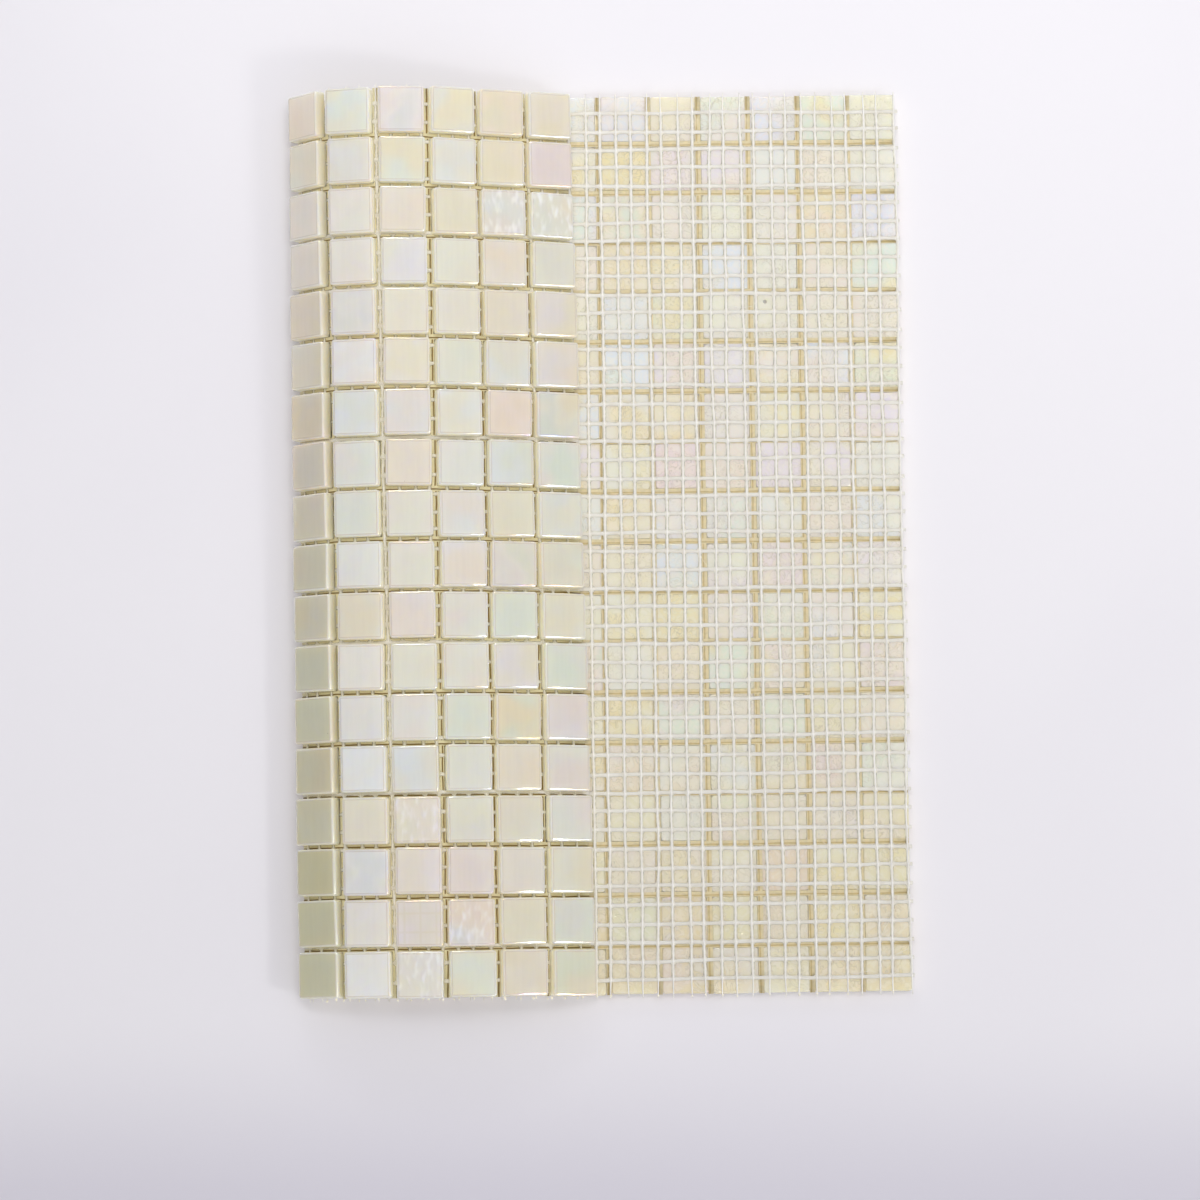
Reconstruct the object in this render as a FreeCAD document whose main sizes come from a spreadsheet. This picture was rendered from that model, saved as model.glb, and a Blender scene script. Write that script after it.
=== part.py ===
"""Mosaic tile sheet: glass tiles on a backing mesh, lying face down with one end folded over."""
import FreeCAD, Part
import math
import os

import Sketcher

# Driving dimensions in millimetres, and angles in degrees above the floor
SIZES = [
    ("tile_width", 15.0, "side of one square tile"),
    ("tile_thickness", 4.0, "thickness of the glass"),
    ("joint_width", 1.45, "gap between neighbouring tiles"),
    ("corner_cut", 0.8, "flat across each upright corner of a tile"),
    ("face_bevel", 0.6, "bevel round the glossy face"),
    ("row_count", 18, "tiles along one column"),
    ("flat_column_count", 12, "columns that lie on the floor, face down"),
    ("glue_gap", 0.1, "glue film between the tile backs and the weft"),
    ("weft_pitch", 6.05, "spacing of the flat yarns across the columns"),
    ("weft_width", 0.95, "width of a flat yarn"),
    ("weft_thickness", 0.25, "thickness of a flat yarn"),
    ("weft_inset", 5.4, "first flat yarn, from the head edge of the tiles"),
    ("crossing_gap", 0.1, "glue film between the two layers of yarn"),
    ("warp_pitch", 5.09, "spacing of the thin yarns along the columns"),
    ("warp_width", 0.55, "width of a thin yarn"),
    ("warp_thickness", 0.3, "thickness of a thin yarn"),
    ("warp_inset", 0.5, "first thin yarn, from the free edge of the flat part"),
    ("yarn_stub", 1.2, "cut yarn that stands out past the outer tiles"),
    ("rest_gap", 0.1, "clearance where the folded end rests on the mesh"),
    ("head_angle_1", 51.0, "head end: the column that rises from the crease"),
    ("head_angle_2", 16.0, "head end: second folded column"),
    ("head_angle_3", -4.5, "head end: third folded column, the top of the hump"),
    ("head_angle_4", -20.0, "head end: fourth folded column, before it settles"),
    ("head_angle_5", -17.0, "head end: fifth folded column, before it settles"),
    ("head_angle_6", -22.0, "head end: last folded column, before it settles"),
    ("foot_angle_1", 30.0, "foot end: the column that rises from the crease"),
    ("foot_angle_2", 11.0, "foot end: second folded column"),
    ("foot_angle_3", 4.0, "foot end: third folded column, the top of the hump"),
    ("foot_angle_4", -7.0, "foot end: fourth folded column, before it settles"),
    ("foot_angle_5", -16.0, "foot end: fifth folded column, before it settles"),
    ("foot_angle_6", -24.0, "foot end: last folded column, before it settles"),
]

RISING_COLUMNS = 3
FOLDED_COLUMNS = 6
SOLVER_STEPS = 50
STEEPEST_SETTLING = 4.0

Vector = FreeCAD.Vector

doc = FreeCAD.newDocument("MosaicTileSheet")


def write_sheet(sizes):
    """Put every driving dimension in a named cell."""
    sheet = doc.addObject("Spreadsheet::Sheet", "Sizes")
    for row, (name, value, meaning) in enumerate(sizes, start=1):
        sheet.set(f"A{row}", name)
        sheet.set(f"B{row}", str(value))
        sheet.set(f"C{row}", meaning)
        sheet.setAlias(f"B{row}", name)
    doc.recompute()
    return sheet


sheet = write_sheet(SIZES)


def size(name):
    """Read one driving dimension from its cell."""
    return float(sheet.get(name))


tile_width = size("tile_width")
tile_thickness = size("tile_thickness")
tile_pitch = tile_width + size("joint_width")
row_count = round(size("row_count"))
flat_column_count = round(size("flat_column_count"))
column_count = flat_column_count + FOLDED_COLUMNS
sheet_length = row_count * tile_pitch - size("joint_width")
chain_length = column_count * tile_pitch - size("joint_width")

# Layers of the mesh, measured off the tile backs
weft_near = size("glue_gap")
weft_far = weft_near + size("weft_thickness")
warp_near = weft_far + size("crossing_gap")
warp_far = warp_near + size("warp_thickness")


# Folded profile

# The sheet is followed from the free edge of its flat part, over the crease, to
# the folded end. A profile is the line of the tile backs at one end of the sheet,
# as points (x, z) two to a column, with the glass on its left and the mesh on its right.

def step(point, distance, slope):
    """Go a distance along a slope given in degrees."""
    angle = math.radians(slope)
    return (point[0] + distance * math.cos(angle), point[1] + distance * math.sin(angle))


def profile(slopes):
    """Points of the tile backs, where each gap takes the mean slope of its neighbours."""
    flat_slope = 180.0
    points = [(0.0, tile_thickness)]
    for column in range(flat_column_count):
        if column > 0:
            points.append(step(points[-1], size("joint_width"), flat_slope))
        points.append(step(points[-1], tile_width, flat_slope))
    previous = flat_slope
    for slope in slopes:
        points.append(step(points[-1], size("joint_width"), (previous + slope) / 2))
        points.append(step(points[-1], tile_width, slope))
        previous = slope
    return points


def settled_slopes(slopes, factor):
    """Steepen or ease the columns past the top of the hump by one factor."""
    falling = [slope * factor for slope in slopes[RISING_COLUMNS:]]
    return slopes[:RISING_COLUMNS] + falling


def settled_profile(end_name):
    """Lower the folded end until its mesh rests on the mesh of the flat part."""
    slopes = [size(f"{end_name}_angle_{number}") for number in range(1, FOLDED_COLUMNS + 1)]
    resting_height = tile_thickness + warp_far + size("rest_gap")
    low, high = 0.0, STEEPEST_SETTLING
    for _ in range(SOLVER_STEPS):
        factor = (low + high) / 2
        trial = settled_slopes(slopes, factor)
        last_back = profile(trial)[-1][1]
        end_underside = last_back - weft_far * math.cos(math.radians(trial[-1]))
        if end_underside > resting_height:
            low = factor
        else:
            high = factor
    return profile(settled_slopes(slopes, factor))


head_profile = settled_profile("head")
foot_profile = settled_profile("foot")
corner_stations = [
    side
    for column in range(column_count)
    for side in (column * tile_pitch, column * tile_pitch + tile_width)
]


def on_backs(index, fraction):
    """Point number index of the profile, a fraction of the way from head to foot."""
    head, foot = head_profile[index], foot_profile[index]
    return Vector(
        head[0] + (foot[0] - head[0]) * fraction,
        sheet_length / 2 - sheet_length * fraction,
        head[1] + (foot[1] - head[1]) * fraction,
    )


def strip_frame(index, fraction):
    """Direction along the profile and towards the mesh, between two of its points."""
    along = (on_backs(index + 1, fraction) - on_backs(index, fraction)).normalize()
    to_mesh = Vector(along.z, 0, -along.x)
    return along, to_mesh


# Glass tiles

def origin_feature(body, role):
    """Find one of a body's own origin planes or axes."""
    return next(item for item in body.Origin.OriginFeatures if item.Role == role)


def edge_names(shape, wanted):
    """Names of the edges that a test picks."""
    return [f"Edge{number}" for number, edge in enumerate(shape.Edges, start=1) if wanted(edge)]


def square_sketch(body):
    """Square outline of a tile, centred on the body's origin."""
    sketch = body.newObject("Sketcher::SketchObject", "tile_outline")
    sketch.AttachmentSupport = [(origin_feature(body, "XY_Plane"), "")]
    sketch.MapMode = "FlatFace"
    half = tile_width / 2
    corners = [Vector(-half, -half), Vector(half, -half), Vector(half, half), Vector(-half, half)]
    for number, corner in enumerate(corners):
        sketch.addGeometry(Part.LineSegment(corner, corners[(number + 1) % 4]), False)
    for number in range(4):
        sketch.addConstraint(Sketcher.Constraint("Coincident", number, 2, (number + 1) % 4, 1))
    for number in (0, 2):
        sketch.addConstraint(Sketcher.Constraint("Horizontal", number))
    for number in (1, 3):
        sketch.addConstraint(Sketcher.Constraint("Vertical", number))
    sketch.addConstraint(Sketcher.Constraint("Symmetric", 0, 1, 1, 2, -1, 1))
    across = sketch.addConstraint(Sketcher.Constraint("DistanceX", 0, 1, 0, 2, tile_width))
    along = sketch.addConstraint(Sketcher.Constraint("DistanceY", 1, 1, 1, 2, tile_width))
    sketch.setExpression(f"Constraints[{across}]", "Sizes.tile_width")
    sketch.setExpression(f"Constraints[{along}]", "Sizes.tile_width")
    return sketch


def tile_body(name):
    """One tile, face down on the floor, with cut corners and a bevelled face."""
    body = doc.addObject("PartDesign::Body", name)
    body.Label = name
    pad = body.newObject("PartDesign::Pad", "glass")
    pad.Profile = square_sketch(body)
    pad.setExpression("Length", "Sizes.tile_thickness")
    doc.recompute()
    corners = body.newObject("PartDesign::Chamfer", "corners")
    corners.Base = (pad, edge_names(pad.Shape, lambda edge: edge.BoundBox.ZLength > tile_thickness / 2))
    corners.setExpression("Size", "Sizes.corner_cut")
    doc.recompute()
    bevel = body.newObject("PartDesign::Chamfer", "face_edge")
    bevel.Base = (corners, edge_names(corners.Shape, lambda edge: edge.BoundBox.ZMax < tile_thickness / 2))
    bevel.setExpression("Size", "Sizes.face_bevel")
    doc.recompute()
    return body


def flat_column(number):
    """A column of the flat part: one tile repeated from the foot to the head."""
    body = tile_body(f"tile_column_{number:02d}")
    rows = body.newObject("PartDesign::LinearPattern", "rows")
    rows.TransformMode = "Whole shape"
    rows.Direction = (origin_feature(body, "Y_Axis"), [""])
    rows.setExpression("Length", "(Sizes.row_count - 1) * (Sizes.tile_width + Sizes.joint_width)")
    rows.setExpression("Occurrences", "Sizes.row_count")
    body.Tip = rows
    place_x = -(number - 1) * tile_pitch - tile_width / 2
    place_y = -sheet_length / 2 + tile_width / 2
    body.Placement = FreeCAD.Placement(Vector(place_x, place_y, 0), FreeCAD.Rotation())
    doc.recompute()
    return body


def folded_tile_placement(index, row):
    """Place a tile with its back on the folded profile, square to its own strip."""
    fraction = (row * tile_pitch + tile_width / 2) / sheet_length
    near, far = on_backs(index, fraction), on_backs(index + 1, fraction)
    along = (far - near).normalize()
    head_side = on_backs(index, 0) + on_backs(index + 1, 0)
    foot_side = on_backs(index, 1) + on_backs(index + 1, 1)
    to_head = head_side - foot_side
    to_head = (to_head - along * to_head.dot(along)).normalize()
    to_back = to_head.cross(along)
    turn = FreeCAD.Rotation(-along, to_head, to_back, "XYZ")
    middle = (near + far) / 2
    return FreeCAD.Placement(middle - to_back * tile_thickness, turn)


def folded_column(number, tile_shape):
    """A column of the folded part, whose tiles turn a little from head to foot."""
    index = 2 * (number - 1)
    tiles = []
    for row in range(row_count):
        tile = tile_shape.copy()
        tile.Placement = folded_tile_placement(index, row)
        tiles.append(tile)
    column = doc.addObject("Part::Feature", f"tile_column_{number:02d}")
    column.Label = f"tile_column_{number:02d}"
    column.Shape = Part.makeCompound(tiles)
    return column


# Backing mesh

def offset_path(points, distance):
    """Shift a line of points towards the mesh side, with mitred corners."""
    sides = []
    for start, end in zip(points, points[1:]):
        run = (end - start).normalize()
        sides.append(Vector(run.z, 0, -run.x))
    shifted = [points[0] + sides[0] * distance]
    for point, before, after in zip(points[1:-1], sides, sides[1:]):
        shifted.append(point + (before + after) * (distance / (1 + before.dot(after))))
    shifted.append(points[-1] + sides[-1] * distance)
    return shifted


def weft_yarn(centre_y):
    """A flat yarn across all columns, following the backs over the crease."""
    fraction = 0.5 - centre_y / sheet_length
    last_flat = 2 * flat_column_count - 1
    line = [on_backs(0, fraction) + Vector(size("yarn_stub"), 0, 0)]
    line += [on_backs(index, fraction) for index in range(last_flat, 2 * column_count)]
    outline = offset_path(line, weft_near) + offset_path(line, weft_far)[::-1]
    side = Part.Face(Part.makePolygon(outline + outline[:1]))
    yarn = side.extrude(Vector(0, size("weft_width"), 0))
    yarn.translate(Vector(0, -size("weft_width") / 2, 0))
    return yarn


def warp_section(station, index, fraction):
    """Cross-section of a thin yarn at a station of the profile, near one end."""
    share = (station - corner_stations[index]) / (corner_stations[index + 1] - corner_stations[index])
    near, far = on_backs(index, fraction), on_backs(index + 1, fraction)
    along, to_mesh = strip_frame(index, fraction)
    middle = near + (far - near) * share
    half = size("warp_width") / 2
    corners = [
        middle - along * half + to_mesh * warp_near,
        middle + along * half + to_mesh * warp_near,
        middle + along * half + to_mesh * warp_far,
        middle - along * half + to_mesh * warp_far,
    ]
    return Part.makePolygon(corners + corners[:1])


def warp_yarn(station):
    """A thin yarn from past the head edge to past the foot edge."""
    index = max(number for number, corner in enumerate(corner_stations) if corner <= station)
    past_edge = size("yarn_stub") / sheet_length
    head = warp_section(station, index, -past_edge)
    if index < 2 * flat_column_count - 1:
        return Part.Face(head).extrude(Vector(0, -sheet_length - 2 * size("yarn_stub"), 0))
    foot = warp_section(station, index, 1 + past_edge)
    return Part.makeLoft([head, foot], True, True)


def spaced(first, pitch, last):
    """Places from first to last, one pitch apart."""
    count = math.floor((last - first) / pitch) + 1
    return [first + pitch * number for number in range(count)]


def yarn_layer(name, yarns):
    """One direction of yarn as one object."""
    layer = doc.addObject("Part::Feature", name)
    layer.Label = name
    layer.Shape = Part.makeCompound(yarns)
    return layer


def weft_layer():
    """All the flat yarns, from the head edge to the foot edge."""
    insets = spaced(size("weft_inset"), size("weft_pitch"), sheet_length - size("weft_width") / 2)
    return yarn_layer("mesh_weft_yarns", [weft_yarn(sheet_length / 2 - inset) for inset in insets])


def warp_layer():
    """All the thin yarns, from the free edge to the folded end."""
    stations = spaced(size("warp_inset"), size("warp_pitch"), chain_length - size("warp_width") / 2)
    return yarn_layer("mesh_warp_yarns", [warp_yarn(station) for station in stations])


# Assembly

master_tile = tile_body("master_tile")
parts = [flat_column(number) for number in range(1, flat_column_count + 1)]
parts += [
    folded_column(number, master_tile.Shape)
    for number in range(flat_column_count + 1, column_count + 1)
]
parts += [weft_layer(), warp_layer()]
doc.recompute()


def centre_on_origin(objects):
    """Move the whole sheet so that the origin is under the middle of its box."""
    low = min(item.Shape.BoundBox.XMin for item in objects)
    high = max(item.Shape.BoundBox.XMax for item in objects)
    shift = Vector(-(low + high) / 2, 0, 0)
    for item in objects:
        item.Placement = FreeCAD.Placement(shift, FreeCAD.Rotation()).multiply(item.Placement)
    doc.recompute()


def check(objects):
    """Stop if an object failed or has no sound shape."""
    for item in doc.Objects:
        if "Invalid" in item.State or "Error" in item.State:
            raise RuntimeError(f"{item.Name} failed: {item.State}")
    for item in objects:
        if item.Shape.isNull() or not item.Shape.isValid() or not item.Shape.Solids:
            raise RuntimeError(f"{item.Label} has no sound solid")


centre_on_origin(parts)
check(parts)
os.makedirs("parts", exist_ok=True)
for item in parts:
    item.Shape.exportStep(f"parts/{item.Label}.step")
    print(item.Label, len(item.Shape.Solids), "solids")

box = Part.makeCompound([item.Shape for item in parts]).BoundBox
print(f"size {box.XLength:.2f} x {box.YLength:.2f} x {box.ZLength:.2f} mm")
print(f"x {box.XMin:.2f} to {box.XMax:.2f}, y {box.YMin:.2f} to {box.YMax:.2f}, z {box.ZMin:.3f} to {box.ZMax:.2f}")
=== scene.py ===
"""A mosaic tile sheet: iridised glass tiles on a glass-fibre mesh, folded back over itself."""

import math
import random

import bmesh
import bpy
from bpy.props import FloatProperty, FloatVectorProperty, PointerProperty
from mathutils import Matrix, Vector, noise


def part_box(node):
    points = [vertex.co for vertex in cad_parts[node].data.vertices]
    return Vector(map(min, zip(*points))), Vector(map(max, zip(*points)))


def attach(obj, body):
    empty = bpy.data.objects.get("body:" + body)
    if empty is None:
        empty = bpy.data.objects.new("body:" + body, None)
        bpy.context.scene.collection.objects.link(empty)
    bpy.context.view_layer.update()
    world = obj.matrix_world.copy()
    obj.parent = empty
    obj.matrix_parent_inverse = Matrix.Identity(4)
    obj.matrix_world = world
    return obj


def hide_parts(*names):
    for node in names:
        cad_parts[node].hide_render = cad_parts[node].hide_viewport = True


bl_info = {
    "name": "Mosaic tile sheet",
    "version": (1, 0, 0),
    "blender": (4, 5, 0),
    "location": "3D View > Sidebar > Mosaic",
    "description": "Glass tiles, mesh yarns and glue of a mosaic sheet folded over itself",
    "category": "Object",
}

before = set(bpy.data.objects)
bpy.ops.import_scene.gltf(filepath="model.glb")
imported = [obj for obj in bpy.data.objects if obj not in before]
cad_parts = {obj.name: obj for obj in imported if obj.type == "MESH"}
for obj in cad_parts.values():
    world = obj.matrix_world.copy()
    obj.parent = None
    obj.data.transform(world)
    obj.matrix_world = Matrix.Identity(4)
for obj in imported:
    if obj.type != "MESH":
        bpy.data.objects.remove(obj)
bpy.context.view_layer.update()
MM = 0.001

# Points nearer to each other than this are one
WELD = 0.002 * MM

# Cosine over which two normals point the same way, and the smallest area of a tile's wall
SAME_WAY = 0.9995
WALL_AREA = 20 * MM * MM

# How far a yarn reaches past the tiles, its frayed filaments not counted
STUB = 1.0 * MM

# Seeds of the random draws. Each column and each yarn adds its own number.
TILE_SEED = 500
LONG_YARN_SEED = 900
FLAT_YARN_SEED = 1700
DROP_SEED = 451
FRAY_SEED = 77
FIBRE_SEED = 31


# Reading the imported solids


def separate_solids(node):
    """The solids of one CAD node, each as a list of welded vertices in the mesh's order."""
    shape = bmesh.new()
    shape.from_mesh(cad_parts[node].data)
    bmesh.ops.remove_doubles(shape, verts=shape.verts, dist=WELD)
    shape.normal_update()
    # The set is only asked, never run through, because its order changes with each run
    seen = set()
    for start in shape.verts:
        if start in seen:
            continue
        seen.add(start)
        found = [start]
        for vertex in found:
            for edge in vertex.link_edges:
                other = edge.other_vert(vertex)
                if other not in seen:
                    seen.add(other)
                    found.append(other)
        yield found
    shape.free()


def middle(vertices):
    """Mean of the vertices' points."""
    return sum((vertex.co for vertex in vertices), Vector()) / len(vertices)


def tile_place(vertices):
    """Place of one tile: origin at the middle of its back, +Z to its glossy face, +Y to the head."""
    flats = []
    for face in dict.fromkeys(face for vertex in vertices for face in vertex.link_faces):
        for flat in flats:
            if flat["normal"].dot(face.normal) > SAME_WAY:
                flat["area"] += face.calc_area()
                flat["vertices"].update(dict.fromkeys(face.verts))
                break
        else:
            flats.append(
                {
                    "normal": face.normal.copy(),
                    "area": face.calc_area(),
                    "vertices": dict.fromkeys(face.verts),
                }
            )
    back = max(flats, key=lambda flat: flat["area"])
    out = -back["normal"]
    walls = [flat for flat in flats if flat["area"] > WALL_AREA]
    walls = [flat for flat in walls if abs(flat["normal"].dot(out)) < 0.1]
    head = max(walls, key=lambda flat: flat["normal"].y)["normal"]
    place = Matrix((head.cross(out), head, out)).transposed().to_4x4()
    place.translation = middle(back["vertices"])
    return place


def read_tiles():
    """Places of all tiles: one list for each column, each from the head to the foot."""
    columns = []
    for node in sorted(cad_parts):
        if node.startswith("tile_column_"):
            column = [tile_place(solid) for solid in separate_solids(node)]
            columns.append(sorted(column, key=lambda place: -place.translation.y))
    return columns


def tile_size():
    """Width and thickness of a flat tile."""
    low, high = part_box("tile_column_01")
    return high.x - low.x, high.z - low.z


PLACES = read_tiles()
COLUMNS = len(PLACES)
ROWS = len(PLACES[0])
TILE, THICKNESS = tile_size()
PITCH = (PLACES[0][0].translation.y - PLACES[0][-1].translation.y) / (ROWS - 1)
LENGTH = (ROWS - 1) * PITCH + TILE
WIDTH = (COLUMNS - 1) * PITCH + TILE
HEAD = PLACES[0][0].translation.y + TILE / 2
FREE_EDGE = PLACES[0][0].translation.x + TILE / 2
FLAT_COLUMNS = sum(1 for column in PLACES if column[0].to_3x3().col[2].z < -0.99)


def read_warps():
    """Distances of the long yarns from the free edge, measured along the sheet.

    The yarns on the flat part give the spacing, and the others go on with it.
    """
    count = 0
    flat = []
    for solid in separate_solids("mesh_warp_yarns"):
        count += 1
        if max(vertex.co.z for vertex in solid) < THICKNESS + 1 * MM:
            flat.append(FREE_EDGE - middle(solid).x)
    flat.sort()
    pitch = (flat[-1] - flat[0]) / (len(flat) - 1)
    return [flat[0] + number * pitch for number in range(count)]


def read_wefts():
    """Distances of the flat yarns from the head edge of the tiles."""
    lines = []
    for solid in separate_solids("mesh_weft_yarns"):
        flat = [vertex for vertex in solid if vertex.co.z < THICKNESS + 0.6 * MM]
        end = max(vertex.co.x for vertex in flat)
        tip = [vertex for vertex in flat if vertex.co.x > end - 1 * MM]
        low = min(vertex.co.y for vertex in tip)
        high = max(vertex.co.y for vertex in tip)
        lines.append(HEAD - (low + high) / 2)
    return sorted(lines)


WARPS = read_warps()
WEFTS = read_wefts()


# Places on the sheet, from the free edge and from the head edge


def tiles_at(distance, count):
    """The tiles at a distance along the sheet: number, distance from its middle, share."""
    number = min(max(int(distance // PITCH), 0), count - 1)
    inside = distance - number * PITCH
    if inside <= TILE or number == count - 1:
        return [(number, inside - TILE / 2, 1.0)]
    share = (inside - TILE) / (PITCH - TILE)
    return [(number, TILE / 2, 1.0 - share), (number + 1, -TILE / 2, share)]


def on_backs(along, down, height):
    """Point over the tile backs. Between two tiles it lies between the points of both."""
    point = Vector()
    for column, across, share in tiles_at(along, COLUMNS):
        for row, off, part in tiles_at(down, ROWS):
            point += share * part * (PLACES[column][row] @ Vector((across, -off, -height)))
    return point


def lean(along):
    """Turn of the back's outward side about the length of the sheet."""
    column = tiles_at(along, COLUMNS)[0][0]
    back = -PLACES[column][ROWS // 2].to_3x3().col[2]
    return math.atan2(back.x, back.z)


def warp_shift(number, down):
    """How far a long yarn wanders sideways at a distance from the head.

    It has waves of 60 and of 9 mm, and every two yarns lie a little closer together.
    """
    wander = noise.noise(Vector((number * 7.3, down / (60 * MM), 1.5)))
    small = noise.noise(Vector((number * 3.1, down / (9 * MM), 8.5)))
    pair = 0.24 if number % 2 else -0.24
    return (0.6 * wander + 0.26 * small + pair) * MM


def weft_shift(number, along):
    """How far a flat yarn wanders, in waves of 55 and of 8 mm, at a distance from the free edge."""
    wander = noise.noise(Vector((number * 5.7, along / (55 * MM), 4.5)))
    small = noise.noise(Vector((number * 2.9, along / (8 * MM), 6.5)))
    return (0.65 * wander + 0.32 * small) * MM


# Materials

# Inputs that are given by number: a Map Range has its value at 0, the range of that at 1 and 2,
# and what the range becomes at 3 and 4. A Mix has its share at 0 and its colours at 6 and 7.
SMOOTH = {"interpolation_type": "SMOOTHSTEP"}
COLOURS = {"data_type": "RGBA"}

# Opal glass: its refraction and its oxide skin's, and how far red, green and blue spread in it
GLASS = {
    "IOR": 1.52,
    "Thin Film IOR": 1.85,
    "Subsurface Radius": (1.0, 0.88, 0.55),
    "Subsurface Scale": 5.0 * MM,
}

# Refraction of dried glue
GLUE_IOR = 1.47

# Change of the oxide skin across a face and across a back, in nanometres
FACE_DRIFT = 19.0
BACK_DRIFT = 10.0

# The open bubble in a back, in millimetres: its place, where its rim starts, where its floor does
BUBBLE_PLACE = (3.3, 4.9, 0.0)
BUBBLE_RIM = 0.75
BUBBLE_FLOOR = 0.45

# How deep the bubble is beside the relief of the curls
BUBBLE_DEPTH = 4.0


def srgb(text):
    """Linear colour of an sRGB hex value."""
    levels = [int(text[at : at + 2], 16) / 255 for at in (0, 2, 4)]
    return [v / 12.92 if v <= 0.04045 else ((v + 0.055) / 1.055) ** 2.4 for v in levels]


def rgba(colour):
    """The colour with full alpha."""
    return (*colour, 1.0)


def add(tree, kind, inputs=None, **settings):
    """Adds a shader node with its settings, and links its inputs or sets their values.

    An input that is given a node is linked to the first output that the node has in use.
    """
    node = tree.nodes.new("ShaderNode" + kind)
    for name, value in settings.items():
        setattr(node, name, value)
    for key, value in (inputs or {}).items():
        if isinstance(value, bpy.types.Node):
            value = next(output for output in value.outputs if output.enabled)
        if isinstance(value, bpy.types.NodeSocket):
            tree.links.new(value, node.inputs[key])
        else:
            node.inputs[key].default_value = value
    return node


def new_material(name):
    """An empty node material and its tree."""
    material = bpy.data.materials.new(name)
    material.use_nodes = True
    material.node_tree.nodes.clear()
    return material, material.node_tree


def finish_material(material, shader, colour):
    """Connects the shader to the output and gives the viewport its colour."""
    add(material.node_tree, "OutputMaterial", {"Surface": shader})
    material.diffuse_color = rgba(colour)
    return material


def layer(tree, below, colour, cover, strength):
    """A colour laid over another, where its cover times its strength lets it show."""
    cover = add(tree, "Math", {0: cover, 1: strength}, operation="MULTIPLY")
    return add(tree, "Mix", {0: cover, 6: below, 7: rgba(colour)}, **COLOURS)


def glass_tints(tree, drift_range):
    """Nodes that both sides of a tile share: a place of its own, its tints and its skin."""
    spot = add(tree, "Attribute", attribute_name="tile_spot").outputs["Vector"]
    seed = add(tree, "Attribute", attribute_name="tile_seed").outputs["Vector"]
    tint = add(tree, "Attribute", attribute_name="tile_tint")
    drift = add(tree, "Attribute", attribute_name="tile_drift")
    skin = add(tree, "Attribute", attribute_name="tile_skin").outputs["Fac"]
    apart = (90.0, 90.0, 90.0)
    place = add(tree, "VectorMath", {0: seed, 1: apart, 2: spot}, operation="MULTIPLY_ADD")

    # Soft clouds, about the size of a tile, from one tint to the other
    cloud = add(tree, "TexNoise", {"Vector": place, "Scale": 0.075, "Detail": 1.0})
    share = add(tree, "MapRange", {0: cloud, 1: 0.35, 2: 0.65}, **SMOOTH)
    colour = add(tree, "Mix", {0: share, 6: tint, 7: drift}, **COLOURS)

    # Thickness of the oxide skin in nanometres, which sets the pearl's hue
    swing = {0: cloud, 1: 0.3, 2: 0.7, 3: -drift_range, 4: drift_range}
    drifted = add(tree, "MapRange", swing, **SMOOTH)
    skin = add(tree, "Math", {0: skin, 1: drifted}, operation="ADD")
    return spot, place, share, colour, skin


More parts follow.
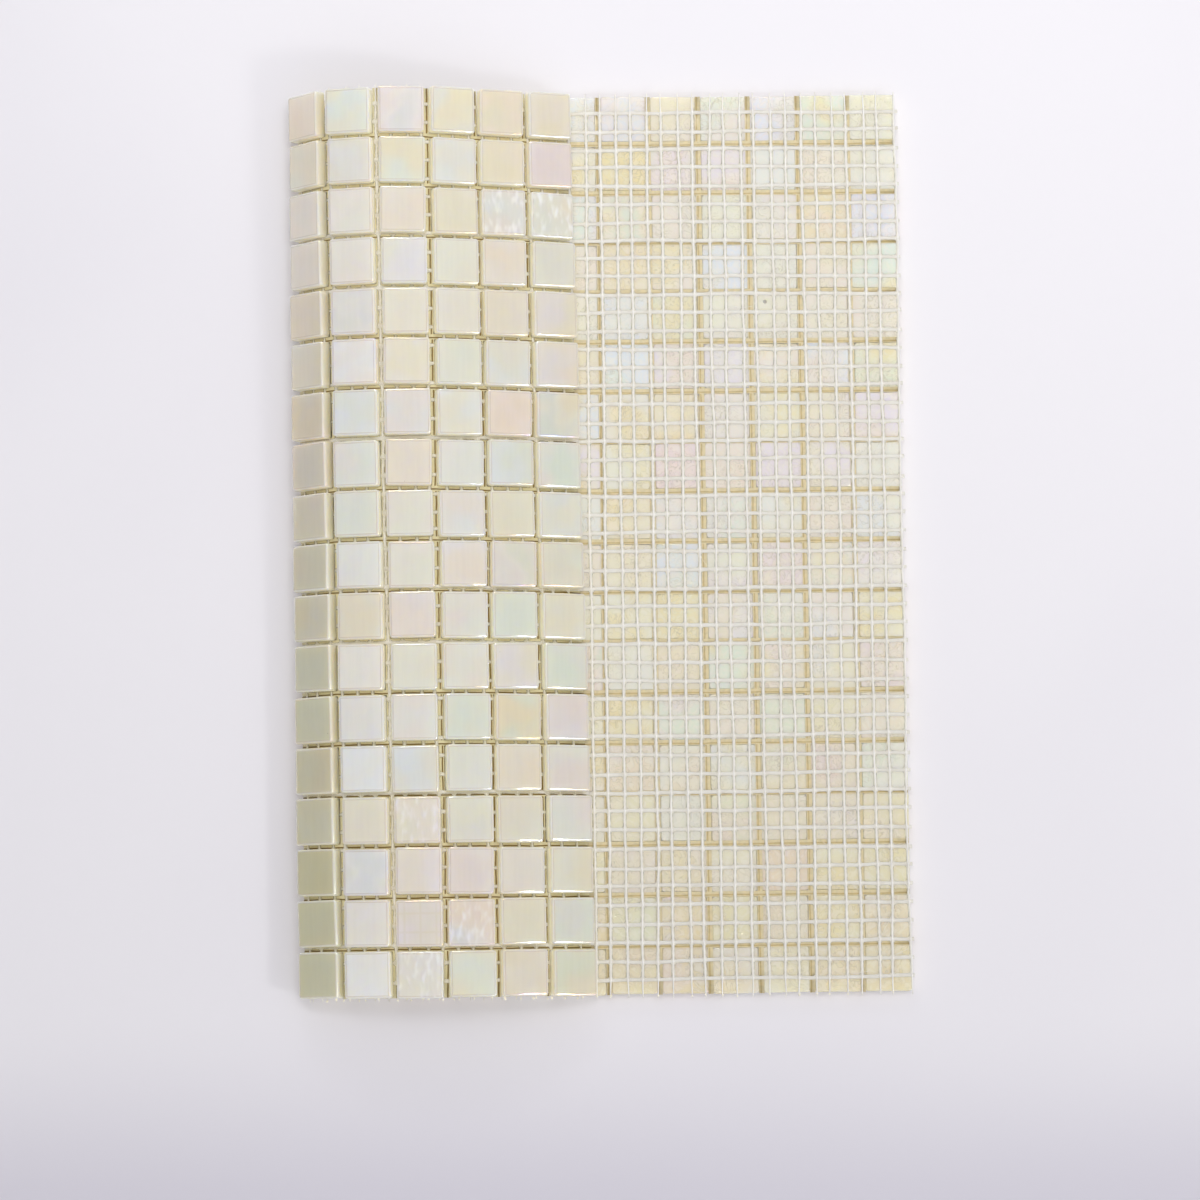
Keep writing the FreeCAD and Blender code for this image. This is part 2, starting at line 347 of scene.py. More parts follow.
def glass_face_material(look):
    """Opal glass, pressed, with an iridised metal-oxide skin.

    The skin gives pastel pearl reflections. The body is straw coloured where light from the
    face leaves it through the walls, which is the emission.
    """
    material, tree = new_material("opal_glass_pressed_iridised")
    spot, place, _, face, skin = glass_tints(tree, FACE_DRIFT)
    axes = add(tree, "SeparateXYZ", {0: spot}).outputs

    # Draw lines of the press, 0.6 to 2 mm apart
    drawn = add(tree, "VectorMath", {0: place, 1: (1.0, 0.07, 1.0)}, operation="MULTIPLY")
    lines = add(tree, "TexNoise", {"Vector": drawn, "Scale": 0.9, "Detail": 1.0})
    shade = add(tree, "MapRange", {0: lines, 1: 0.3, 2: 0.7, 3: 0.988, 4: 1.008}, **SMOOTH)
    shade = add(tree, "CombineXYZ", {0: shade, 1: shade, 2: shade})
    face = add(tree, "Mix", {0: 1.0, 6: face, 7: shade}, blend_type="MULTIPLY", **COLOURS)

    # The rim of the face is painted a little lighter, a painted highlight on its rounded edge, with
    # a fine line inside it
    across = add(tree, "Math", {0: axes[0]}, operation="ABSOLUTE")
    along = add(tree, "Math", {0: axes[1]}, operation="ABSOLUTE")
    reach = add(tree, "Math", {0: across, 1: along}, operation="MAXIMUM")
    rim = add(tree, "MapRange", {0: reach, 1: 6.5, 2: 7.0}, **SMOOTH)
    face = layer(tree, face, look.rim_highlight_colour, rim, 0.5)
    inner = add(tree, "Math", {0: reach, 1: 6.8}, operation="SUBTRACT")
    inner = add(tree, "Math", {0: inner}, operation="ABSOLUTE")
    inner = add(tree, "MapRange", {0: inner, 1: 0.28, 2: 0.1, 3: 0.0, 4: 0.45}, **SMOOTH)
    face = add(tree, "Mix", {0: inner, 6: face, 7: rgba(look.line_colour)}, **COLOURS)

    # The mesh shows through one thin tile, with bars 5.1 mm and ties 6 mm apart
    marks = add(tree, "Attribute", attribute_name="tile_marks").outputs["Vector"]
    marks = add(tree, "SeparateXYZ", {0: marks}).outputs
    bars = add(tree, "Math", {0: axes[0], 1: 20.0}, operation="ADD")
    bars = add(tree, "Math", {0: bars, 1: 2.55}, operation="PINGPONG")
    ties = add(tree, "Math", {0: axes[1], 1: 21.0}, operation="ADD")
    ties = add(tree, "Math", {0: ties, 1: 3.02}, operation="PINGPONG")
    bars = add(tree, "Math", {0: bars, 1: ties}, operation="MINIMUM")
    bars = add(tree, "MapRange", {0: bars, 1: 0.55, 2: 0.1, 3: 0.0, 4: 0.4}, **SMOOTH)
    face = layer(tree, face, look.wall_colour, bars, marks[1])

    # A few pits of 0.2 mm
    pits = add(tree, "TexVoronoi", {"Vector": place, "Scale": 0.16})
    pit = add(tree, "MapRange", {0: pits, 1: 0.03, 2: 0.015}, **SMOOTH)
    chosen = add(tree, "SeparateColor", {0: pits.outputs["Color"]})
    chosen = add(tree, "Math", {0: chosen, 1: 0.72}, operation="GREATER_THAN")
    pit = add(tree, "Math", {0: pit, 1: chosen}, operation="MULTIPLY")
    face = layer(tree, face, look.pit_colour, pit, 0.7)

    # A few faces have deep waves with soft white patches of light
    poured = add(tree, "VectorMath", {0: place, 1: (1.0, 0.4, 1.0)}, operation="MULTIPLY")
    waves = add(tree, "TexNoise", {"Vector": poured, "Scale": 0.5, "Detail": 1.0})
    crest = add(tree, "MapRange", {0: waves, 1: 0.45, 2: 0.8, 3: 0.0, 4: 0.8}, **SMOOTH)
    face = layer(tree, face, look.streak_colour, crest, marks[0])

    # Walls turn from straw to gold towards the back: partly the glass's colour, partly painted light
    # that the glass carries into the joints
    depth = add(tree, "MapRange", {0: axes[2], 1: 3.3, 2: 0.9}, **SMOOTH)
    walls = {0: depth, 6: rgba(look.wall_colour), 7: rgba(look.deep_colour)}
    wall = add(tree, "Mix", walls, **COLOURS)
    wall = add(tree, "Mix", {0: 0.6, 6: face, 7: wall}, **COLOURS)
    on_wall = add(tree, "MapRange", {0: axes[2], 1: 3.9, 2: 3.5}, **SMOOTH)
    colour = add(tree, "Mix", {0: on_wall, 6: face, 7: wall}, **COLOURS)

    # Light that leaves a tile: in full to the head and foot, by its column's glow to the sides
    glow = add(tree, "Attribute", attribute_name="tile_glow").outputs["Fac"]
    ends = add(tree, "Math", {0: along, 1: across}, operation="SUBTRACT")
    ends = add(tree, "MapRange", {0: ends, 1: -0.3, 2: 0.3}, **SMOOTH)
    glow = add(tree, "Math", {0: glow, 1: ends}, operation="MAXIMUM")
    level = {0: axes[2], 1: 3.4, 2: 2.0, 3: 0.0, 4: look.wall_glow}
    level = add(tree, "MapRange", level, **SMOOTH)
    glow = add(tree, "Math", {0: glow, 1: level}, operation="MULTIPLY")

    # Relief of the waves
    waved = add(tree, "MapRange", {0: marks[0], 1: 0.0, 2: 1.0, 3: 1.0, 4: 5.0}, **SMOOTH)
    waves = add(tree, "Math", {0: waves, 1: waved}, operation="MULTIPLY")
    bump = add(tree, "Bump", {"Height": waves, "Strength": 1.0, "Distance": 0.06 * MM})
    rough = add(tree, "MapRange", {0: on_wall, 1: 0.0, 2: 1.0, 3: 0.1, 4: 0.3}, **SMOOTH)
    shader = add(
        tree,
        "BsdfPrincipled",
        {
            "Base Color": colour,
            "Roughness": rough,
            "Subsurface Weight": 1.0,
            "Thin Film Thickness": skin,
            "Normal": bump,
            "Emission Color": wall,
            "Emission Strength": glow,
            **GLASS,
        },
    )
    material.cycles.emission_sampling = "NONE"
    return finish_material(material, shader, look.wall_colour)


def glass_back_material(look):
    """The back of an iridised tile under clear glue: stronger pastels, with curled folds."""
    material, tree = new_material("opal_glass_back_glued")
    spot, place, share, back, skin = glass_tints(tree, BACK_DRIFT)
    stronger = {"Saturation": look.back_saturation, "Value": 1.17, "Color": back}
    back = add(tree, "HueSaturation", stronger)

    # Curled folds of the glue, 1 to 3 mm long, with a line of painted shade along each fold
    curled = {"Vector": place, "Scale": 0.3, "Detail": 1.0, "Distortion": 2.0}
    curls = add(tree, "TexNoise", curled)
    fold = add(tree, "Math", {0: curls, 1: 0.5}, operation="SUBTRACT")
    fold = add(tree, "Math", {0: fold}, operation="ABSOLUTE")
    fold = add(tree, "MapRange", {0: fold, 1: 0.04, 2: 0.0}, **SMOOTH)
    fold = add(tree, "Math", {0: fold, 1: share}, operation="MULTIPLY")
    press = add(tree, "MapRange", {0: curls, 1: 0.35, 2: 0.7, 3: 0.1, 4: 0.5}, **SMOOTH)
    back = add(tree, "Mix", {0: press, 6: back, 7: rgba(look.back_colour)}, **COLOURS)
    back = layer(tree, back, look.wrinkle_shade_colour, fold, 0.45)

    # One back has a small open bubble
    marks = add(tree, "Attribute", attribute_name="tile_marks").outputs["Vector"]
    marks = add(tree, "SeparateXYZ", {0: marks}).outputs
    hole = add(tree, "VectorMath", {0: spot, 1: BUBBLE_PLACE}, operation="DISTANCE")
    hole = add(tree, "MapRange", {0: hole, 1: BUBBLE_RIM, 2: BUBBLE_FLOOR}, **SMOOTH)
    hole = add(tree, "Math", {0: hole, 1: marks[2]}, operation="MULTIPLY")
    back = layer(tree, back, look.hole_colour, hole, 0.8)
    relief = add(tree, "Math", {0: fold, 1: curls}, operation="ADD")
    dip = add(tree, "Math", {0: hole, 1: BUBBLE_DEPTH}, operation="MULTIPLY")
    relief = add(tree, "Math", {0: relief, 1: dip}, operation="SUBTRACT")
    bump = add(tree, "Bump", {"Height": relief, "Strength": 1.0, "Distance": 0.05 * MM})
    shader = add(
        tree,
        "BsdfPrincipled",
        {
            "Base Color": back,
            "Roughness": 0.14,
            "Subsurface Weight": 0.6,
            "Thin Film Thickness": skin,
            "Normal": bump,
            **GLASS,
        },
    )
    return finish_material(material, shader, look.back_colour)


def yarn_material(name, colour, shade, opacity, along):
    """Glass-fibre yarn, coated with clear resin: bright filaments that run along the yarn."""
    material, tree = new_material(name)
    place = add(tree, "TexCoord").outputs["Object"]

    # Filaments about 0.1 mm wide, drawn 1 mm long, and patches of about 5 mm
    stretch = (900.0, 9000.0, 9000.0) if along == "X" else (9000.0, 900.0, 9000.0)
    drawn = add(tree, "VectorMath", {0: place, 1: stretch}, operation="MULTIPLY")
    strands = add(tree, "TexNoise", {"Vector": drawn, "Scale": 1.0, "Detail": 2.0})
    patches = add(tree, "TexNoise", {"Vector": place, "Scale": 210.0, "Detail": 2.0})
    mixed = add(tree, "Math", {0: strands, 1: 0.5}, operation="MULTIPLY")
    mixed = add(tree, "Math", {0: mixed, 1: patches}, operation="ADD")
    mixed = add(tree, "MapRange", {0: mixed, 1: 0.55, 2: 0.85}, **SMOOTH)
    base = add(tree, "Mix", {0: mixed, 6: rgba(shade), 7: rgba(colour)}, **COLOURS)
    bump = add(tree, "Bump", {"Height": strands, "Strength": 0.4, "Distance": 0.04 * MM})
    inputs = {"Base Color": base, "Roughness": 0.38, "IOR": 1.5, "Alpha": opacity, "Normal": bump}
    shader = add(tree, "BsdfPrincipled", inputs)
    return finish_material(material, shader, colour)


def glue_material(look):
    """Dried clear glue: a glossy fillet, milky beside the yarn, clearer at its edge, with painted
    shade there.
    """
    material, tree = new_material("dried_clear_glue")
    edge = add(tree, "Attribute", attribute_name="glue_edge").outputs["Fac"]
    place = add(tree, "TexCoord").outputs["Object"]

    # Fine bubbles of about 1 mm
    bubbles = add(tree, "TexNoise", {"Vector": place, "Scale": 900.0, "Detail": 2.0})
    # The grey line at the edge of each window is painted shade of the glue's rounded edge
    line = add(tree, "MapRange", {0: edge, 1: 0.62, 2: 0.76}, **SMOOTH)
    colours = {0: line, 6: rgba(look.glue_colour), 7: rgba(look.edge_shade_colour)}
    base = add(tree, "Mix", colours, **COLOURS)
    veil = add(tree, "MapRange", {0: bubbles, 1: 0.35, 2: 0.7, 3: -0.08, 4: 0.12}, **SMOOTH)
    clear = add(tree, "MapRange", {0: edge, 1: 0.35, 2: 1.0, 3: 0.8, 4: 0.2}, **SMOOTH)
    veil = add(tree, "Math", {0: veil, 1: clear}, operation="ADD")
    line = add(tree, "Math", {0: line, 1: 0.1}, operation="MULTIPLY")
    veil = add(tree, "Math", {0: veil, 1: line}, operation="ADD")
    bump = add(tree, "Bump", {"Height": bubbles, "Strength": 0.5, "Distance": 0.05 * MM})
    inputs = {"Base Color": base, "Roughness": 0.16, "IOR": GLUE_IOR, "Alpha": veil, "Normal": bump}
    shader = add(tree, "BsdfPrincipled", inputs)
    return finish_material(material, shader, look.glue_colour)


def joint_material(name, colour, shade, thin, thick, glow):
    """Dried glue that lies thick: in a joint, with a painted shadow line along one side, or in a
    drop.

    In a joint the colours are tan, for amber glue between glass walls. A drop is clear. The glow is
    painted light.
    """
    material, tree = new_material(name)
    place = add(tree, "TexCoord").outputs["Object"]
    side = add(tree, "Attribute", attribute_name="joint_side").outputs["Fac"]

    # The painted shadow line wanders over about 8 mm, and the glue has specks of about 1.4 mm
    cloud = add(tree, "TexNoise", {"Vector": place, "Scale": 120.0, "Detail": 2.0})
    wander = add(tree, "Math", {0: cloud, 1: 0.5}, operation="SUBTRACT")
    wander = add(tree, "Math", {0: wander, 1: 0.8}, operation="MULTIPLY")
    side = add(tree, "Math", {0: side, 1: wander}, operation="ADD")
    line = add(tree, "Math", {0: side, 1: 0.35}, operation="SUBTRACT")
    line = add(tree, "Math", {0: line}, operation="ABSOLUTE")
    line = add(tree, "MapRange", {0: line, 1: 0.42, 2: 0.1}, **SMOOTH)
    fine = add(tree, "TexNoise", {"Vector": place, "Scale": 700.0, "Detail": 2.0})
    specks = add(tree, "MapRange", {0: fine, 1: 0.4, 2: 0.7, 3: 0.0, 4: 0.25}, **SMOOTH)
    mixed = add(tree, "Math", {0: line, 1: specks}, operation="ADD")
    mixed = add(tree, "Math", {0: mixed, 1: 1.0}, operation="MINIMUM")
    base = add(tree, "Mix", {0: mixed, 6: rgba(colour), 7: rgba(shade)}, **COLOURS)
    veil = add(tree, "MapRange", {0: fine, 1: 0.3, 2: 0.7, 3: thin, 4: thick}, **SMOOTH)
    bump = add(tree, "Bump", {"Height": fine, "Strength": 0.35, "Distance": 0.05 * MM})
    shader = add(
        tree,
        "BsdfPrincipled",
        {
            "Base Color": base,
            "Roughness": 0.28,
            "IOR": GLUE_IOR,
            "Alpha": veil,
            "Normal": bump,
            "Emission Color": base,
            "Emission Strength": glow,
        },
    )
    material.cycles.emission_sampling = "NONE"
    return finish_material(material, shader, colour)


def backdrop_material(look):
    """Matt paper backdrop, with painted shade to the front for the light falling off, clouds of 0.25
    m and a grain of 1.4 mm.
    """
    material, tree = new_material("backdrop_paper_matt")
    place = add(tree, "TexCoord").outputs["Object"]
    clouds = add(tree, "TexNoise", {"Vector": place, "Scale": 4.0, "Detail": 2.0})
    down = add(tree, "SeparateXYZ", {0: place}).outputs[1]
    # Painted shade: the paper darkens to the front, where the light falls off
    fade = add(tree, "MapRange", {0: down, 1: -0.225, 2: -0.15}, **SMOOTH)
    shade = rgba(look.floor_shade)
    tone = add(tree, "Mix", {0: fade, 6: shade, 7: rgba(look.floor_colour)}, **COLOURS)
    clouds = add(tree, "MapRange", {0: clouds, 1: 0.45, 2: 0.75, 3: 0.0, 4: 0.2}, **SMOOTH)
    tone = add(tree, "Mix", {0: clouds, 6: tone, 7: shade}, **COLOURS)
    grain = add(tree, "TexNoise", {"Vector": place, "Scale": 700.0, "Detail": 2.0})
    bump = add(tree, "Bump", {"Height": grain, "Strength": 0.2, "Distance": 0.05 * MM})
    inputs = {"Base Color": tone, "Roughness": 0.75, "Normal": bump}
    shader = add(tree, "BsdfPrincipled", inputs)
    return finish_material(material, shader, look.floor_colour)


# Pieces


def show(name, mesh, materials, replaces=()):
    """Puts a mesh into the scene as a piece of the sheet."""
    for material in materials:
        mesh.materials.append(material)
    piece = bpy.data.objects.new(name, mesh)
    bpy.context.scene.collection.objects.link(piece)
    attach(piece, "root")
    if replaces:
        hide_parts(*replaces)
    return piece


def into_mesh(shape, name, smooth=False):
    """Turns a bmesh into a mesh and frees it. Its faces are shaded smooth if asked."""
    if smooth:
        for face in shape.faces:
            face.smooth = True
    mesh = bpy.data.meshes.new(name)
    shape.to_mesh(mesh)
    shape.free()
    return mesh


def give_film(piece, thickness):
    """Gives a surface of glue its thickness, half to each side."""
    film = piece.modifiers.new("film", "SOLIDIFY")
    film.thickness = thickness
    film.offset = 0.0


def bevel(shape, edges, width, segments):
    """Rounds edges."""
    bmesh.ops.bevel(
        shape,
        geom=edges,
        offset=width,
        offset_type="OFFSET",
        segments=segments,
        profile=0.5,
        affect="EDGES",
        clamp_overlap=True,
        material=-1,
    )


def tile_master(look):
    """One tile at the origin, back down, with its own points stored in millimetres."""
    tile = bmesh.new()
    bmesh.ops.create_cube(tile, size=1.0)
    wall = THICKNESS - look.pillow
    bmesh.ops.scale(tile, vec=(TILE, TILE, wall), verts=tile.verts)
    bmesh.ops.translate(tile, vec=(0.0, 0.0, wall / 2), verts=tile.verts)
    tile.normal_update()
    # The face rises in two steps, of 1.5 and 1.8 mm, towards its middle
    crown = [face for face in tile.faces if face.normal.z > 0.5]
    for width, part in ((1.5, 0.7), (1.8, 0.3)):
        bmesh.ops.inset_individual(tile, faces=crown, thickness=width * MM, depth=0.0)
        lift = (0.0, 0.0, part * look.pillow)
        bmesh.ops.translate(tile, vec=lift, verts=list(crown[0].verts))
    # Edges are found by the height of their ends, to within a hundredth of a millimetre
    near = 0.01 * MM
    upright = [e for e in tile.edges if abs(e.verts[0].co.z - e.verts[1].co.z) > MM]
    bevel(tile, upright, look.corner_radius, 2)
    rim = [e for e in tile.edges if all(abs(v.co.z - wall) < near for v in e.verts)]
    bevel(tile, rim, look.rim_radius, 2)
    foot = [e for e in tile.edges if max(v.co.z for v in e.verts) < near]
    bevel(tile, foot, look.back_radius, 1)
    # The rim's bevel leaves two points on the same spot at each corner
    bmesh.ops.remove_doubles(tile, verts=tile.verts, dist=0.001 * MM)
    spots = tile.verts.layers.float_vector.new("tile_spot")
    for vertex in tile.verts:
        vertex[spots] = vertex.co / MM
    # The flat back and its rounding, below 0.2 mm, take the second material
    for face in tile.faces:
        low = face.calc_center_median().z
        face.smooth = low > near
        face.material_index = 1 if low < 0.2 * MM else 0
    return into_mesh(tile, "tile_master")


# Oxide skins in nanometres, from white over cream and gold to rose and lilac pearl
SKINS = (80, 82, 84, 86, 90, 92, 98, 104, 112, 124, 138)

# Column and row of the tiles with a waved face, of the one that the mesh shows through, and of
# the one with an open bubble in its back
WAVED = {(15, 18), (16, 17), (17, 3), (18, 3), (15, 15)}
SHOWN_THROUGH = {(15, 17)}
HOLED = {(3, 5)}

# How often each tint is drawn, from ivory to honey
FOLDED_SHARES = (5, 4, 4, 3, 3, 3, 2)
FLAT_SHARES = (5, 5, 2, 2, 3, 4, 4)

# Smallest and largest size of a tile, as a share of its true one
SIZES = (0.99, 1.006)

# Glow of the side walls of the column that rises beside the crease, and of all others
RISING_GLOW = 0.1
FULL_GLOW = 1.0


def tile_tints(look, column, row, dice):
    """Two tints of one tile, drawn and then moved towards the colour of its part of the sheet, which
    beside the crease is painted light and shade.
    """
    tints = [look.ivory, look.cream, look.mint, look.sky, look.lilac, look.peach, look.honey]
    shares = FOLDED_SHARES if column >= FLAT_COLUMNS else FLAT_SHARES
    first, second = dice.choices(tints, shares, k=2)
    first = Vector(first)
    second = Vector(second)
    down = row / (ROWS - 1)
    # Beside the crease the steep face goes from beige at the head to sage at the foot: painted
    # reflection and shade of its tilt
    if column == FLAT_COLUMNS:
        aim = Vector(look.beige).lerp(Vector(look.sage), down)
        share = dice.uniform(0.5, 0.9)
    elif column < FLAT_COLUMNS:
        aim = Vector(look.tan)
        share = max(down - 0.5, 0.0) * dice.uniform(0.6, 1.4)
    else:
        part = (column - FLAT_COLUMNS - 1) / (COLUMNS - FLAT_COLUMNS - 2)
        aim = Vector(look.white).lerp(Vector(look.straw), part)
        share = dice.uniform(0.35, 0.85) * (1.0 - 0.5 * part)
    first = first.lerp(aim, share)
    second = second.lerp(aim, share)
    return first, second.lerp(first, 0.2)


def tile_column(look, number, master):
    """One column of tiles, hand-laid: each is a little off its place."""
    dice = random.Random(TILE_SEED + number)
    folded = number >= FLAT_COLUMNS
    glow = RISING_GLOW if number == FLAT_COLUMNS else FULL_GLOW
    column = bmesh.new()
    column.verts.layers.float_vector.new("tile_spot")
    seeds = column.verts.layers.float_vector.new("tile_seed")
    tints = column.verts.layers.float_color.new("tile_tint")
    drifts = column.verts.layers.float_color.new("tile_drift")
    skins = column.verts.layers.float.new("tile_skin")
    glows = column.verts.layers.float.new("tile_glow")
    marks = column.verts.layers.float_vector.new("tile_marks")
    for row, place in enumerate(PLACES[number]):
        before = len(column.verts)
        column.from_mesh(master)
        column.verts.ensure_lookup_table()
        fresh = column.verts[before:]
        off = look.offset
        slide = Vector((dice.uniform(-off, off), dice.uniform(-off, off), 0.0))
        turn = Matrix.Rotation(dice.gauss(0.0, 0.45 * look.turn), 4, "Z")
        if folded:
            turn = turn @ Matrix.Rotation(dice.gauss(0.0, 0.4 * look.turn), 4, "X")
            turn = turn @ Matrix.Rotation(dice.gauss(0.0, 0.4 * look.turn), 4, "Y")
        size = Matrix.Diagonal((dice.uniform(*SIZES), dice.uniform(*SIZES), 1.0, 1.0))
        matrix = place @ Matrix.Translation(slide) @ turn @ size
        bmesh.ops.transform(column, matrix=matrix, verts=fresh)
        seed = Vector((dice.random(), dice.random(), dice.random()))
        skin = dice.choice(SKINS) + dice.uniform(-4.0, 4.0)
        tint, drift = tile_tints(look, number, row, dice)
        here = (number + 1, row + 1)
        mark = Vector([here in group for group in (WAVED, SHOWN_THROUGH, HOLED)])
        for vertex in fresh:
            vertex[seeds] = seed
            vertex[tints] = rgba(tint)
            vertex[drifts] = rgba(drift)
            vertex[skins] = skin
            vertex[glows] = glow
            vertex[marks] = mark
    return into_mesh(column, f"glass_tiles_{number + 1:02d}")


def swept(name, runs, section, sides):
    """One mesh that sweeps an oval section along each run of (point, tilt, size)."""
    oval = bpy.data.curves.new("oval", "CURVE")
    oval.dimensions = "2D"
    outline = oval.splines.new("POLY")
    outline.points.add(sides - 1)
    outline.use_cyclic_u = True
    for number, point in enumerate(outline.points):
        angle = 2 * math.pi * (number + 0.5) / sides
        x = section[0] / 2 * math.cos(angle)
        y = section[1] / 2 * math.sin(angle)
        point.co = (x, y, 0.0, 1.0)
    oval_object = bpy.data.objects.new("oval", oval)
    bpy.context.scene.collection.objects.link(oval_object)
    curve = bpy.data.curves.new(name, "CURVE")
    curve.dimensions = "3D"
    curve.twist_mode = "MINIMUM"
    curve.bevel_mode = "OBJECT"
    curve.bevel_object = oval_object
    curve.use_fill_caps = True
    for run in runs:
        spline = curve.splines.new("POLY")
        spline.points.add(len(run) - 1)
        spline.use_smooth = True
        for point, (co, tilt, size) in zip(spline.points, run):
            point.co = (*co, 1.0)
            point.tilt = tilt
            point.radius = size
    path = bpy.data.objects.new(name, curve)
    bpy.context.scene.collection.objects.link(path)
    bpy.context.view_layer.update()
    ready = path.evaluated_get(bpy.context.evaluated_depsgraph_get())
    mesh = bpy.data.meshes.new_from_object(ready)
    bpy.data.objects.remove(path)
    bpy.data.curves.remove(curve)
    bpy.data.objects.remove(oval_object)
    bpy.data.curves.remove(oval)
    shape = bmesh.new()
    shape.from_mesh(mesh)
    bmesh.ops.remove_doubles(shape, verts=shape.verts, dist=0.0005 * MM)
    bmesh.ops.recalc_face_normals(shape, faces=shape.faces)
    for face in shape.faces:
        face.smooth = True
    shape.to_mesh(mesh)
    shape.free()
    mesh.name = name
    return mesh


def warp_run(look, number):
    """Path of one long yarn: it rides over each flat yarn with a small knot."""
    dice = random.Random(LONG_YARN_SEED + number)
    along = WARPS[number]
    tilt = lean(along)
    low, high = look.yarn_low, look.yarn_high
    run = []

    def put(down, height, size):
        place = on_backs(along + warp_shift(number, down), down, height)
        run.append((place, tilt, size))

    put(-STUB, low, 0.8)
    put(-0.2 * MM, low, 0.95)
    previous = 0.0
    for weft, line in enumerate(WEFTS):
        line += weft_shift(weft, along)
        put((previous + line) / 2, low, dice.uniform(0.88, 1.05))
        knot = look.knot_width / look.warp_width * dice.uniform(0.72, 1.08)
        side = dice.uniform(0.42, 0.6) * MM
        put(line - side, (low + high) / 2, 1.0)
        put(line, high, knot)
        put(line + side, (low + high) / 2, 1.0)
        previous = line
    put((previous + LENGTH) / 2, low, 1.0)
    put(LENGTH + 0.2 * MM, low, 0.95)
    put(LENGTH + STUB, low, 0.8)
    return run


def weft_run(look, number):
    """Path of one flat yarn: under the long yarns, round the crease and back over the fold."""
    dice = random.Random(FLAT_YARN_SEED + number)
    line = WEFTS[number]
    stops = [-STUB, -0.3 * MM]
    for column in range(COLUMNS):
        for part in (0.0, 0.25, 0.5, 0.75, 1.0):
            stops.append(column * PITCH + part * TILE)
    stops += [WIDTH + 0.3 * MM, WIDTH + STUB]
    run = []
    for along in stops:
        down = line + weft_shift(number, along)
        place = on_backs(along, down, look.weft_height)
        run.append((place, 0.0, dice.uniform(0.9, 1.1)))
    return run


def first_column(warp):
    """Number of the tile column that a long yarn lies on."""
    return tiles_at(WARPS[warp], COLUMNS)[0][0]


def glue_net(look, name, first, last):
    """Glue fillets beside the yarns, as a net with rounded windows."""
    columns = last - first
    rows = len(WEFTS) - 1
    net = bmesh.new()
    bmesh.ops.create_grid(net, x_segments=columns, y_segments=rows, size=0.5)
    edge_mark = net.verts.layers.float.new("glue_edge")
    for vertex in net.verts:
        warp = first + round((vertex.co.x + 0.5) * columns)
        weft = round((vertex.co.y + 0.5) * rows)
        along = WARPS[warp] + warp_shift(warp, WEFTS[weft])
        down = WEFTS[weft] + weft_shift(weft, WARPS[warp])
        vertex.co = (along, down, 0.0)
    windows = list(net.faces)
    bmesh.ops.inset_individual(net, faces=windows, thickness=look.glue_margin, depth=0.0)
    inner = dict.fromkeys(vertex for face in windows for vertex in face.verts)
    bmesh.ops.bevel(
        net,
        geom=list(inner),
        offset=look.glue_corner,
        offset_type="OFFSET",
        segments=2,
        profile=0.5,
        affect="VERTICES",
        clamp_overlap=True,
        material=-1,
    )
    # Only the windows are larger than 8 square millimetres
    windows = [face for face in net.faces if face.calc_area() > 8 * MM * MM]
    for face in windows:
        for vertex in face.verts:
            vertex[edge_mark] = 1.0
    bmesh.ops.delete(net, geom=windows, context="FACES")
    # Cuts at both edges of each column, so that the net can bend there
    for column in range(first_column(first), first_column(last) + 1):
        for cut in (column * PITCH, column * PITCH + TILE):
            bmesh.ops.bisect_plane(
                net,
                geom=net.verts[:] + net.edges[:] + net.faces[:],
                dist=0.001 * MM,
                plane_co=(cut, 0.0, 0.0),
                plane_no=(1.0, 0.0, 0.0),
            )
    # The glue is highest beside the yarns, and less than half as high round its windows
    for vertex in net.verts:
        height = look.glue_height * (0.45 if vertex[edge_mark] > 0.5 else 1.0)
        vertex.co = on_backs(vertex.co.x, vertex.co.y, height)
    bmesh.ops.recalc_face_normals(net, faces=net.faces)
    return into_mesh(net, name, smooth=True)


def joint_glue(look, name, first, last, sag):
    """Glue in the joints between the tile backs of some columns, hanging down by the sag."""
    # Each joint has three lines: its near edge, its middle and its far edge
    spans = []
    for numbers in (range(first, last), range(ROWS)):
        edges = [number * PITCH for number in numbers]
        lines = [edges[0]]
        for edge in edges[1:]:
            half = (PITCH - TILE) / 2
            lines += [edge - 2 * half - look.joint_lap, edge - half, edge + look.joint_lap]
        spans.append([*lines, edges[-1] + TILE])
    glue = bmesh.new()
    sizes = [len(span) - 1 for span in spans]
    bmesh.ops.create_grid(glue, x_segments=sizes[0], y_segments=sizes[1], size=0.5)
    sides = glue.loops.layers.float.new("joint_side")
    places = {}
    for vertex in glue.verts:
        places[vertex] = [round((vertex.co[axis] + 0.5) * sizes[axis]) for axis in (0, 1)]
    # The joint's side runs from -1 at its near edge to 1 at its far edge
    backs = []
    for face in glue.faces:
        steps = [min(places[vertex][axis] for vertex in face.verts) for axis in (0, 1)]
        if steps[0] % 3 == 0 and steps[1] % 3 == 0:
            backs.append(face)
        axis = 0 if steps[1] % 3 == 0 else 1
        for corner in face.loops:
            corner[sides] = (1.0, -1.0, 0.0)[places[corner.vert][axis] % 3]
    for vertex, steps in places.items():
        inner = [step % 3 == 2 and 0 < step < size for step, size in zip(steps, sizes)]
        drop = sag if any(inner) else -look.joint_lift
        vertex.co = on_backs(spans[0][steps[0]], spans[1][steps[1]], -drop)
    bmesh.ops.delete(glue, geom=backs, context="FACES")
    bmesh.ops.recalc_face_normals(glue, faces=glue.faces)
    return into_mesh(glue, name, smooth=True)


